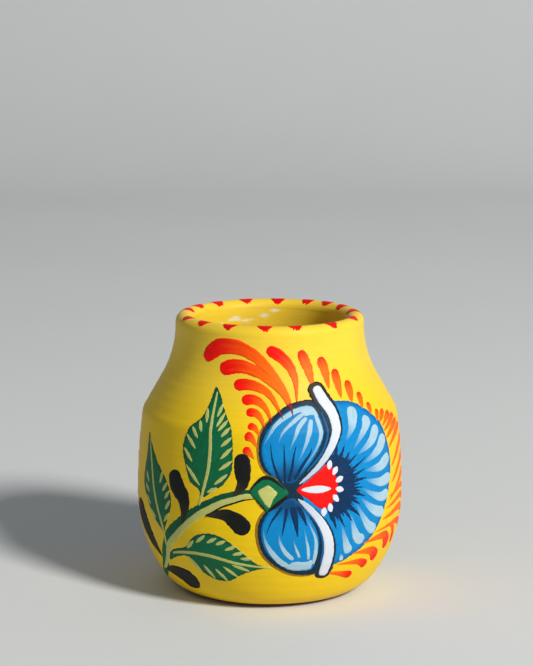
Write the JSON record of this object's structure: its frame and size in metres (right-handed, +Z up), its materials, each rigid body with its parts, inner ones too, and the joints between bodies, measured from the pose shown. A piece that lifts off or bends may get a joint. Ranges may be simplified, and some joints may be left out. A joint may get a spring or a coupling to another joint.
{
  "type": "painted clay vase",
  "caption": "Thick-walled, wide-mouthed clay vase with a round belly, painted yellow with blue flowers, green leaves, black buds and orange feather-like strokes.",
  "frame": {"origin": "centre of the foot's underside, on the surface the vase stands on", "axes": "+Z up along the vase's axis, -Y towards the side with the seen flower, +X to the right as seen from that side"},
  "size_m": [0.1158, 0.1158, 0.1202],
  "materials": {
    "terracotta": "unglazed, matte, low-fired clay",
    "yellow_paint": "satin brushed paint over the clay",
    "orange_red_paint": "satin brushed paint, red running to orange",
    "blue_paint": "satin brushed paint",
    "light_blue_paint": "satin brushed paint",
    "navy_paint": "satin brushed paint, thin in places",
    "outline_paint": "satin brushed paint, thin in places",
    "white_paint": "satin brushed paint",
    "red_paint": "satin brushed paint",
    "green_paint": "satin brushed paint",
    "dark_green_paint": "satin brushed paint",
    "pale_green_paint": "satin brushed paint",
    "black_paint": "satin brushed paint, thin at the tails"
  },
  "bodies": {
    "root": {"clay_body": "terracotta", "ground_coat": "yellow_paint", "rim_dabs": "orange_red_paint", "feather_strokes": "orange_red_paint", "flower_disc": "blue_paint", "disc_highlights": "light_blue_paint", "throat_shade": "navy_paint", "throat": "red_paint", "stamens": "white_paint", "petal_outlines": "outline_paint", "side_petals": "blue_paint", "petal_highlights": "light_blue_paint", "petal_veins": "navy_paint", "petal_cuffs": "white_paint", "calyx": "dark_green_paint", "calyx_core": "pale_green_paint", "stems": "green_paint", "stem_lights": "pale_green_paint", "leaf_blades": "green_paint", "leaf_ribs": "pale_green_paint", "bud_strokes": "black_paint"}
  },
  "joints": []
}
